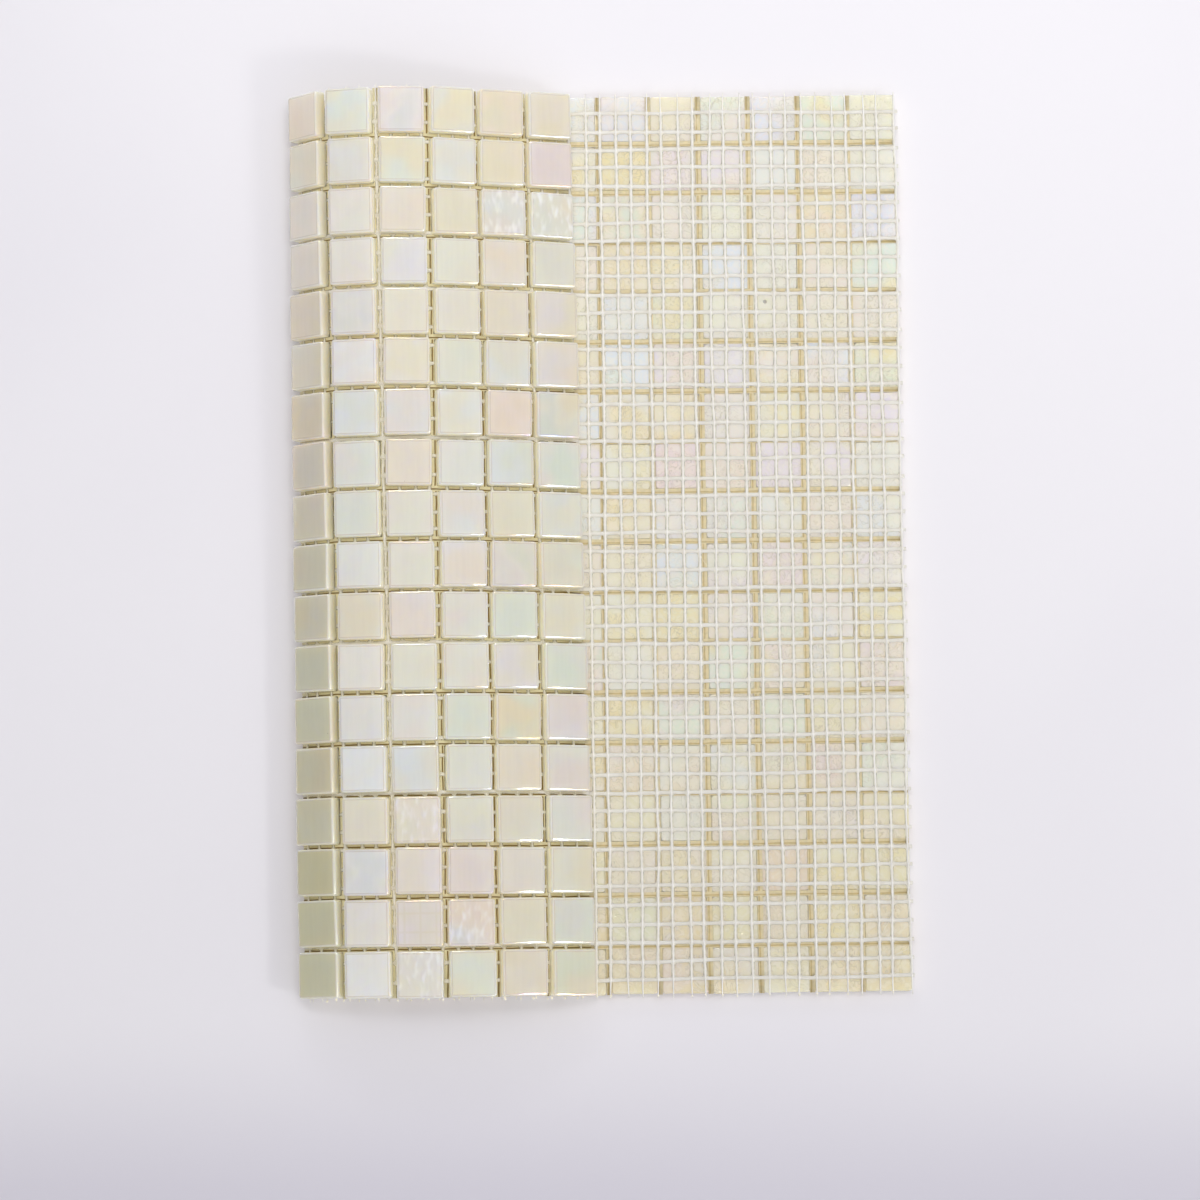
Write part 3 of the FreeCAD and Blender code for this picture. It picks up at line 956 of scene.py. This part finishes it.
def glue_drops(look, name):
    """Small drops of dried glue on the yarn ends at the foot."""
    dice = random.Random(DROP_SEED)
    drops = bmesh.new()
    for number, along in enumerate(WARPS):
        spot = along + warp_shift(number, LENGTH)
        for _ in range(dice.choice((0, 1, 2))):
            size = dice.uniform(0.5, 1.0) * look.drop_width
            place = on_backs(
                spot + dice.gauss(0.0, 0.12) * MM,
                LENGTH + dice.uniform(0.1, 0.9) * MM,
                look.yarn_low,
            )
            shape = (size * dice.uniform(0.8, 1.2), size * dice.uniform(0.8, 1.2), 0.7 * size, 1.0)
            matrix = Matrix.Translation(place) @ Matrix.Diagonal(shape)
            bmesh.ops.create_icosphere(drops, subdivisions=2, radius=0.5, matrix=matrix)
    return into_mesh(drops, name, smooth=True)


def frayed_runs(look):
    """Filaments that splay from the cut ends of the yarns."""
    dice = random.Random(FRAY_SEED)
    runs = []

    def tuft(along, down, step_along, step_down, height):
        for _ in range(dice.choice((1, 2, 2, 3))):
            reach = dice.uniform(0.5, 1.0) * look.stub_length
            side = dice.gauss(0.0, 0.35)
            rise = dice.uniform(-0.2, 0.5)
            run = []
            for part in (0.0, 0.35, 0.7, 1.0):
                out = reach * part
                turn = side * (0.2 * look.fibre_width + reach * part * part)
                place = on_backs(
                    along + step_along * out + step_down * turn,
                    down + step_down * out + step_along * turn,
                    height + rise * out * part,
                )
                run.append((place, 0.0, 1.0 - 0.6 * part))
            runs.append(run)

    for number, along in enumerate(WARPS):
        spot = along + warp_shift(number, 0.0)
        tuft(spot + dice.gauss(0, 0.15) * MM, -0.5 * MM, 0, -1, look.yarn_low)
        spot = along + warp_shift(number, LENGTH)
        tuft(spot + dice.gauss(0, 0.15) * MM, LENGTH + 0.5 * MM, 0, 1, look.yarn_low)
    for number, down in enumerate(WEFTS):
        line = down + weft_shift(number, 0.0)
        tuft(-0.5 * MM, line + dice.gauss(0, 0.2) * MM, -1, 0, look.weft_height)
        line = down + weft_shift(number, WIDTH)
        tuft(WIDTH + 0.5 * MM, line + dice.gauss(0, 0.2) * MM, 1, 0, look.weft_height)
    return runs


def loose_runs(look):
    """Loose filaments that cross the mesh at a slant."""
    dice = random.Random(FIBRE_SEED)
    # Millimetres from the free edge and from the head, angle in radians, length in millimetres
    spots = [
        (36, 12, 0.9, 7),
        (60, 159, -0.5, 9),
        (3, 1, 1.2, 6),
        (7, 272, 1.0, 11),
        (48, 70, 0.3, 6),
        (20, 118, -0.8, 5),
        (75, 214, 0.6, 7),
        (28, 246, 2.4, 5),
        (12, 190, 1.9, 6),
        (66, 40, 2.2, 5),
        (2, 258, 1.9, 9),
        (5, 268, 1.2, 8),
        (1, 281, 0.4, 7),
        (14, 288, 0.2, 6),
    ]
    runs = []
    for along, down, angle, reach in spots:
        bend = dice.uniform(-0.4, 0.4)
        run = []
        for number in range(7):
            part = number / 6
            turn = angle + bend * part
            place = on_backs(
                (along + reach * part * math.cos(turn)) * MM,
                (down + reach * part * math.sin(turn)) * MM,
                look.yarn_high + (0.1 + 0.25 * math.sin(math.pi * part)) * MM,
            )
            run.append((place, 0.0, 1.0 - 0.3 * part))
        runs.append(run)
    return runs


# Settings


def amount(name, value, text, **kind):
    """A number property."""
    return FloatProperty(name=name, description=text, default=value, **kind)


def length(name, value, text):
    """A length property with its default in millimetres."""
    return amount(name, value * MM, text, unit="LENGTH", subtype="DISTANCE")


def tone(name, value, text):
    """A colour property with its default as an sRGB hex value."""
    return FloatVectorProperty(
        name=name, description=text, default=srgb(value), subtype="COLOR", min=0.0, max=1.0
    )


class MosaicTileLook(bpy.types.PropertyGroup):
    """Shape and colours of the glass tiles."""

    corner_radius: length("Corner radius", 0.9, "Rounding of the four upright corners")
    rim_radius: length("Rim radius", 0.6, "Rounding round the glossy face")
    back_radius: length("Back radius", 0.3, "Rounding round the back")
    pillow: length("Pillow", 0.16, "Rise of the face's middle over its rim")
    offset: length("Laying offset", 0.2, "Largest slide of a hand-laid tile")
    turn: amount(
        "Laying turn", math.radians(0.9), "Typical turn of a hand-laid tile", subtype="ANGLE"
    )
    ivory: tone("Ivory", "E3E3D8", "Tint of a tile")
    cream: tone("Cream", "E6E3CF", "Tint of a tile")
    mint: tone("Mint", "DAE4D6", "Tint of a tile")
    sky: tone("Sky", "DDE3E5", "Tint of a tile")
    lilac: tone("Lilac", "E5DDE0", "Tint of a tile")
    peach: tone("Peach", "EBDFD3", "Tint of a tile")
    honey: tone("Honey", "EADFBE", "Tint of a tile")
    white: tone("White", "F7F7F0", "Tint of the tiles on top of the fold, beside the crease")
    straw: tone("Straw", "DFDAC4", "Tint of the tiles at the folded end")
    # Beige at the head and sage at the foot are painted light and shade of the steep column beside
    # the crease
    beige: tone("Beige", "EFE3D8", "Tint of the tiles beside the crease at the head")
    sage: tone("Sage", "CBC9A2", "Tint of the tiles beside the crease at the foot")
    tan: tone("Tan", "DAD1AC", "Tint of the flat tiles towards the foot")
    # Painted highlight on the rounded rim of the glossy face
    rim_highlight_colour: tone("Rim", "F6F3EA", "Rim of the glossy face")
    streak_colour: tone("Streak", "FDFDF8", "Light along the crests of a waved face")
    line_colour: tone("Rim line", "BFB3A6", "Fine line inside the rim")
    # Straw and gold of the walls: partly the glass's colour, partly painted light carried through
    # the glass
    wall_colour: tone("Wall", "E3DFCC", "Wall of a tile near its face")
    deep_colour: tone("Deep wall", "EBE2C2", "Wall of a tile near its back")
    wall_glow: amount("Wall glow", 0.25, "Light that leaves the opal glass through its walls")
    back_saturation: amount("Back saturation", 1.3, "How much stronger the tints are on the back")
    back_colour: tone("Back", "FCF5E2", "Press marks on the back")
    # Painted shade along a fold in the glue on the back
    wrinkle_shade_colour: tone("Wrinkle", "BDB79C", "Fold in the glue on the back")
    pit_colour: tone("Pit", "8A8266", "Dirt in a pit")
    hole_colour: tone("Bubble", "9A978F", "Inside of an open bubble in a back")


class MosaicMeshLook(bpy.types.PropertyGroup):
    """Shape and colours of the mesh and its glue."""

    warp_width: length("Long yarn width", 0.56, "Width of a thin yarn along the columns")
    warp_thickness: length("Long yarn thickness", 0.2, "Thickness of a thin yarn")
    knot_width: length("Knot width", 1.15, "Width of a thin yarn where it crosses a flat one")
    yarn_low: length("Low height", 0.14, "Height of a thin yarn between the flat ones")
    yarn_high: length("High height", 0.28, "Height of a thin yarn over a flat one")
    weft_width: length("Flat yarn width", 1.3, "Width of a flat yarn")
    weft_thickness: length("Flat yarn thickness", 0.14, "Thickness of a flat yarn")
    weft_height: length("Flat yarn height", 0.105, "Height of a flat yarn over the backs")
    stub_length: length("Frayed length", 1.6, "Longest frayed end")
    fibre_width: length("Filament width", 0.11, "Width of a loose filament")
    glue_margin: length("Glue margin", 0.84, "Glue on each side of a yarn's middle line")
    glue_corner: length("Glue corner", 0.7, "Rounding of the corners of the glue windows")
    glue_height: length("Glue height", 0.13, "Height of the glue over the backs")
    glue_film: length("Glue film", 0.06, "Thickness of the glue film")
    drop_width: length("Drop width", 0.8, "Width of the largest drop of glue at the foot")
    warp_colour: tone("Long yarn", "F8F6F0", "Bright coated filaments")
    warp_shade: tone("Long yarn shade", "F1EEE6", "Filaments under the coating")
    weft_colour: tone("Flat yarn", "F7F4EA", "Flat, spread filaments")
    weft_shade: tone("Flat yarn shade", "EFEADD", "Glass seen through the flat yarn")
    glue_colour: tone("Glue", "F3EEDD", "Dried glue")
    joint_lap: length("Joint lap", 0.12, "Glue that laps onto each tile back beside a joint")
    joint_lift: length("Joint lift", 0.03, "Height of the joint glue over the backs")
    joint_sag: length("Joint sag", 0.45, "Depth of the joint glue in the middle of a joint")
    joint_fill: length("Joint fill", 0.38, "Height of the glue in the joints of the fold")
    joint_colour: tone("Joint glue", "EBDDB2", "Dried glue in a joint")
    # Painted shadow along one side of a joint
    joint_shadow_line: tone("Joint glue line", "CEB880", "Darker line along a joint")
    # Glue in the fold's joints: its tan is partly painted light through the glass, its dark line
    # painted shade inside the fold
    fold_colour: tone("Fold glue", "F2E9BE", "Dried glue in a joint of the fold")
    fold_painted_shade: tone("Fold glue line", "7E6420", "Darker glue in a joint of the fold")
    # Painted shade at the edge of the glue, and on one side of a drop
    edge_shade_colour: tone("Glue edge", "D6D2BF", "Edge of the glue")


class MosaicStageLook(bpy.types.PropertyGroup):
    """Light, floor and camera."""

    lens: amount("Lens", 124.8, "Focal length in mm", min=10.0, max=300.0)
    floor_colour: tone("Floor", "F2F0F3", "Backdrop paper")
    # Painted shade on the backdrop towards the front
    floor_shade: tone("Floor shade", "DAD7E0", "Backdrop paper towards the front")
    sky_power: amount("Sky", 0.69, "Strength of the room light")
    overhead_power: amount("Overhead", 29.5, "Overhead light", unit="POWER")
    overhead_height: amount("Overhead height", 1.3, "Height of the light", unit="LENGTH")
    cone_reach: amount(
        "Cone reach", 0.8, "Radius on the floor where the overhead light is gone", unit="LENGTH"
    )
    glint_power: amount(
        "Glint lights", 20.0, "Lights that only the glossy edges reflect", unit="POWER"
    )
    back_power: amount("Back light", 1.8, "Soft light from the head side", unit="POWER")
    side_power: amount("Side light", 3.8, "Soft light from the free edge", unit="POWER")


# Operators


class MOSAIC_OT_glass_tiles(bpy.types.Operator):
    """Lay the glass tiles, one object for each column"""

    bl_idname = "mosaic.glass_tiles"
    bl_label = "Glass tiles"

    def execute(self, context):
        look = context.scene.mosaic_tiles
        master = tile_master(look)
        materials = [glass_face_material(look), glass_back_material(look)]
        for number in range(COLUMNS):
            name = f"glass_tiles_{number + 1:02d}"
            mesh = tile_column(look, number, master)
            show(name, mesh, materials, [f"tile_column_{number + 1:02d}"])
        bpy.data.meshes.remove(master)
        return {"FINISHED"}


class MOSAIC_OT_long_yarns(bpy.types.Operator):
    """Run the thin yarns along the columns"""

    bl_idname = "mosaic.long_yarns"
    bl_label = "Long yarns"

    def execute(self, context):
        look = context.scene.mosaic_mesh
        material = yarn_material(
            "glass_fibre_yarn_coated", look.warp_colour, look.warp_shade, 1.0, "Y"
        )
        runs = [warp_run(look, number) for number in range(len(WARPS))]
        section = (look.warp_width, look.warp_thickness)
        mesh = swept("long_yarns", runs, section, 6)
        show("long_yarns", mesh, [material], ["mesh_warp_yarns"])
        return {"FINISHED"}


class MOSAIC_OT_flat_yarns(bpy.types.Operator):
    """Run the flat yarns across the columns"""

    bl_idname = "mosaic.flat_yarns"
    bl_label = "Flat yarns"

    def execute(self, context):
        look = context.scene.mosaic_mesh
        material = yarn_material(
            "glass_fibre_yarn_spread", look.weft_colour, look.weft_shade, 0.84, "X"
        )
        runs = [weft_run(look, number) for number in range(len(WEFTS))]
        section = (look.weft_width, look.weft_thickness)
        mesh = swept("flat_yarns", runs, section, 8)
        show("flat_yarns", mesh, [material], ["mesh_weft_yarns"])
        return {"FINISHED"}


class MOSAIC_OT_glue(bpy.types.Operator):
    """Lay the glue beside the yarns and in the joints, and its drops at the foot"""

    bl_idname = "mosaic.glue"
    bl_label = "Glue"

    def execute(self, context):
        look = context.scene.mosaic_mesh
        material = glue_material(look)
        crease = FLAT_COLUMNS * PITCH
        turn = sum(1 for along in WARPS if along < crease - (PITCH - TILE))
        for name, first, last in (
            ("glue_free_side", 0, turn // 2),
            ("glue_crease_side", turn // 2, turn - 1),
            ("glue_folded_part", turn, len(WARPS) - 1),
        ):
            piece = show(name, glue_net(look, name, first, last), [material])
            give_film(piece, look.glue_film)
        # The drops glow with painted light and carry a line of painted shade on one side
        clear = joint_material(
            "clear_glue_drop_with_painted_light", look.glue_colour, look.edge_shade_colour, 0.7, 0.9, 0.35
        )
        show("glue_drops", glue_drops(look, "glue_drops"), [clear])
        light = joint_material(
            "dried_amber_glue", look.joint_colour, look.joint_shadow_line, 0.8, 1.0, 0.0
        )
        # In the fold the joint glue is a sheet behind the gaps. It is partly glue and partly
        # painted: its tan and glow are painted light through the glass, its dark line painted shade
        # inside the fold
        deep = joint_material(
            "amber_glue_and_painted_fold_shade", look.fold_colour, look.fold_painted_shade, 0.8, 1.0, 0.06
        )
        for name, first, last, sag, material in (
            ("glue_in_flat_joints", 0, FLAT_COLUMNS, look.joint_sag, light),
            ("glue_and_painted_shade_in_folded_joints", FLAT_COLUMNS, COLUMNS, -look.joint_fill, deep),
        ):
            piece = show(name, joint_glue(look, name, first, last, sag), [material])
            give_film(piece, look.glue_film)
        return {"FINISHED"}


class MOSAIC_OT_frayed_ends(bpy.types.Operator):
    """Fray the cut ends of the yarns and lay the loose filaments"""

    bl_idname = "mosaic.frayed_ends"
    bl_label = "Frayed ends"

    def execute(self, context):
        look = context.scene.mosaic_mesh
        material = yarn_material(
            "glass_fibre_bare", look.warp_colour, look.warp_shade, 1.0, "Y"
        )
        section = (look.fibre_width, look.fibre_width)
        mesh = swept("frayed_ends", frayed_runs(look), section, 4)
        show("frayed_ends", mesh, [material])
        mesh = swept("loose_fibres", loose_runs(look), section, 5)
        show("loose_fibres", mesh, [material])
        return {"FINISHED"}


class MOSAIC_OT_stage(bpy.types.Operator):
    """Set up the floor, the lights and the camera"""

    bl_idname = "mosaic.stage"
    bl_label = "Stage"

    def execute(self, context):
        look = context.scene.mosaic_stage
        floor = bmesh.new()
        bmesh.ops.create_grid(floor, x_segments=8, y_segments=8, size=3.0)
        bmesh.ops.translate(floor, vec=(0.0, 0.0, -0.05 * MM), verts=floor.verts)
        mesh = into_mesh(floor, "floor")
        mesh.materials.append(backdrop_material(look))
        ground = bpy.data.objects.new("floor", mesh)
        context.scene.collection.objects.link(ground)
        light_room(context, look)
        place_camera(context, look)
        context.scene.view_settings.view_transform = "Standard"
        context.scene.view_settings.look = "None"
        return {"FINISHED"}


def light_room(context, look):
    """A pale room, a soft lamp overhead, lights at the sides and glints for the glossy edges."""
    world = bpy.data.worlds.new("room")
    context.scene.world = world
    world.use_nodes = True
    tree = world.node_tree
    tree.nodes.clear()
    # The room is darker near the floor and to the left, and a little lighter in front
    way = add(tree, "TexCoord").outputs["Generated"]
    way = add(tree, "SeparateXYZ", {0: way}).outputs
    level = add(tree, "MapRange", {0: way[2], 1: 0.0, 2: 0.7, 3: 0.6, 4: 1.0}, **SMOOTH)
    side = add(tree, "MapRange", {0: way[0], 1: -0.95, 2: 0.1, 3: 0.68, 4: 1.0}, **SMOOTH)
    level = add(tree, "Math", {0: level, 1: side}, operation="MULTIPLY")
    front = add(tree, "MapRange", {0: way[1], 1: -0.7, 2: 0.3, 3: 1.15, 4: 1.0}, **SMOOTH)
    level = add(tree, "Math", {0: level, 1: front}, operation="MULTIPLY")
    level = add(tree, "Math", {0: level, 1: look.sky_power}, operation="MULTIPLY")
    light = add(tree, "Background", {"Color": (0.97, 0.96, 1.0, 1.0), "Strength": level})
    add(tree, "OutputWorld", {"Surface": light})
    for name, at, size, power, diffuse in (
        ("back_soft_light", (-0.25, 1.5, 0.95), 0.22, look.back_power, True),
        ("side_soft_light", (1.2, -0.65, 1.12), 0.22, look.side_power, True),
        ("foot_glint_light", (1.1, -1.0, 1.0), 0.5, look.glint_power, False),
        ("head_glint_light", (-0.1, 1.5, 0.85), 0.5, look.glint_power / 2, False),
    ):
        lamp = bpy.data.lights.new(name, "AREA")
        lamp.shape = "SQUARE"
        lamp.size = size
        lamp.energy = power
        piece = put_lamp(context, name, lamp, at, Vector(at))
        piece.visible_diffuse = diffuse
    lamp = bpy.data.lights.new("overhead_light", "SPOT")
    lamp.energy = look.overhead_power
    lamp.shadow_soft_size = 0.45
    lamp.spot_size = 2 * math.atan2(look.cone_reach, look.overhead_height)
    lamp.spot_blend = 0.63
    at = (0.08, 0.45, look.overhead_height)
    piece = put_lamp(context, "overhead_light", lamp, at, Vector((0.0, 0.0, 1.0)))
    piece.visible_glossy = False


def put_lamp(context, name, lamp, at, way):
    """Places a lamp that shines against the given way and that the camera doesn't see."""
    piece = bpy.data.objects.new(name, lamp)
    context.scene.collection.objects.link(piece)
    piece.location = at
    piece.rotation_mode = "QUATERNION"
    piece.rotation_quaternion = way.to_track_quat("Z", "Y")
    piece.visible_camera = False
    return piece


# Camera fitted to the photo: its place in millimetres, and its turns in radians
CAMERA_PLACE = (-32.698, -140.408, 1354.686)
CAMERA_TURNS = (("Z", -0.0113), ("X", 0.0899), ("Y", -0.0229))


def place_camera(context, look):
    """The camera looks down from over the foot of the sheet, a little to its left."""
    data = bpy.data.cameras.new("camera")
    data.lens = look.lens
    data.sensor_width = 36.0
    data.clip_start = 0.05
    data.clip_end = 20.0
    camera = bpy.data.objects.new("camera", data)
    context.scene.collection.objects.link(camera)
    turn = Matrix.Identity(4)
    for axis, angle in CAMERA_TURNS:
        turn = turn @ Matrix.Rotation(angle, 4, axis)
    place = Vector(CAMERA_PLACE) * MM
    camera.matrix_world = Matrix.Translation(place) @ turn
    context.scene.camera = camera


class MOSAIC_PT_sheet(bpy.types.Panel):
    """Lists the steps that build the sheet, and their settings"""

    bl_idname = "MOSAIC_PT_sheet"
    bl_label = "Mosaic tile sheet"
    bl_space_type = "VIEW_3D"
    bl_region_type = "UI"
    bl_category = "Mosaic"

    def draw(self, context):
        for step in STEPS:
            self.layout.operator(step.bl_idname)
        for group in GROUPS:
            look = getattr(context.scene, group)
            box = self.layout.box()
            for name in look.bl_rna.properties.keys():
                if name not in {"rna_type", "name"}:
                    box.prop(look, name)


GROUPS = {
    "mosaic_tiles": MosaicTileLook,
    "mosaic_mesh": MosaicMeshLook,
    "mosaic_stage": MosaicStageLook,
}
STEPS = (
    MOSAIC_OT_glass_tiles,
    MOSAIC_OT_flat_yarns,
    MOSAIC_OT_long_yarns,
    MOSAIC_OT_glue,
    MOSAIC_OT_frayed_ends,
    MOSAIC_OT_stage,
)


def register():
    """Registers the settings, the operators and the panel."""
    for kind in (*GROUPS.values(), *STEPS, MOSAIC_PT_sheet):
        bpy.utils.register_class(kind)
    for name, kind in GROUPS.items():
        setattr(bpy.types.Scene, name, PointerProperty(type=kind))


def unregister():
    """Removes what register added."""
    for name in GROUPS:
        delattr(bpy.types.Scene, name)
    for kind in reversed((*GROUPS.values(), *STEPS, MOSAIC_PT_sheet)):
        bpy.utils.unregister_class(kind)


def main():
    """Builds every piece and the stage."""
    register()
    bpy.ops.mosaic.glass_tiles()
    bpy.ops.mosaic.flat_yarns()
    bpy.ops.mosaic.long_yarns()
    bpy.ops.mosaic.glue()
    bpy.ops.mosaic.frayed_ends()
    bpy.ops.mosaic.stage()


if __name__ == "__main__":
    main()
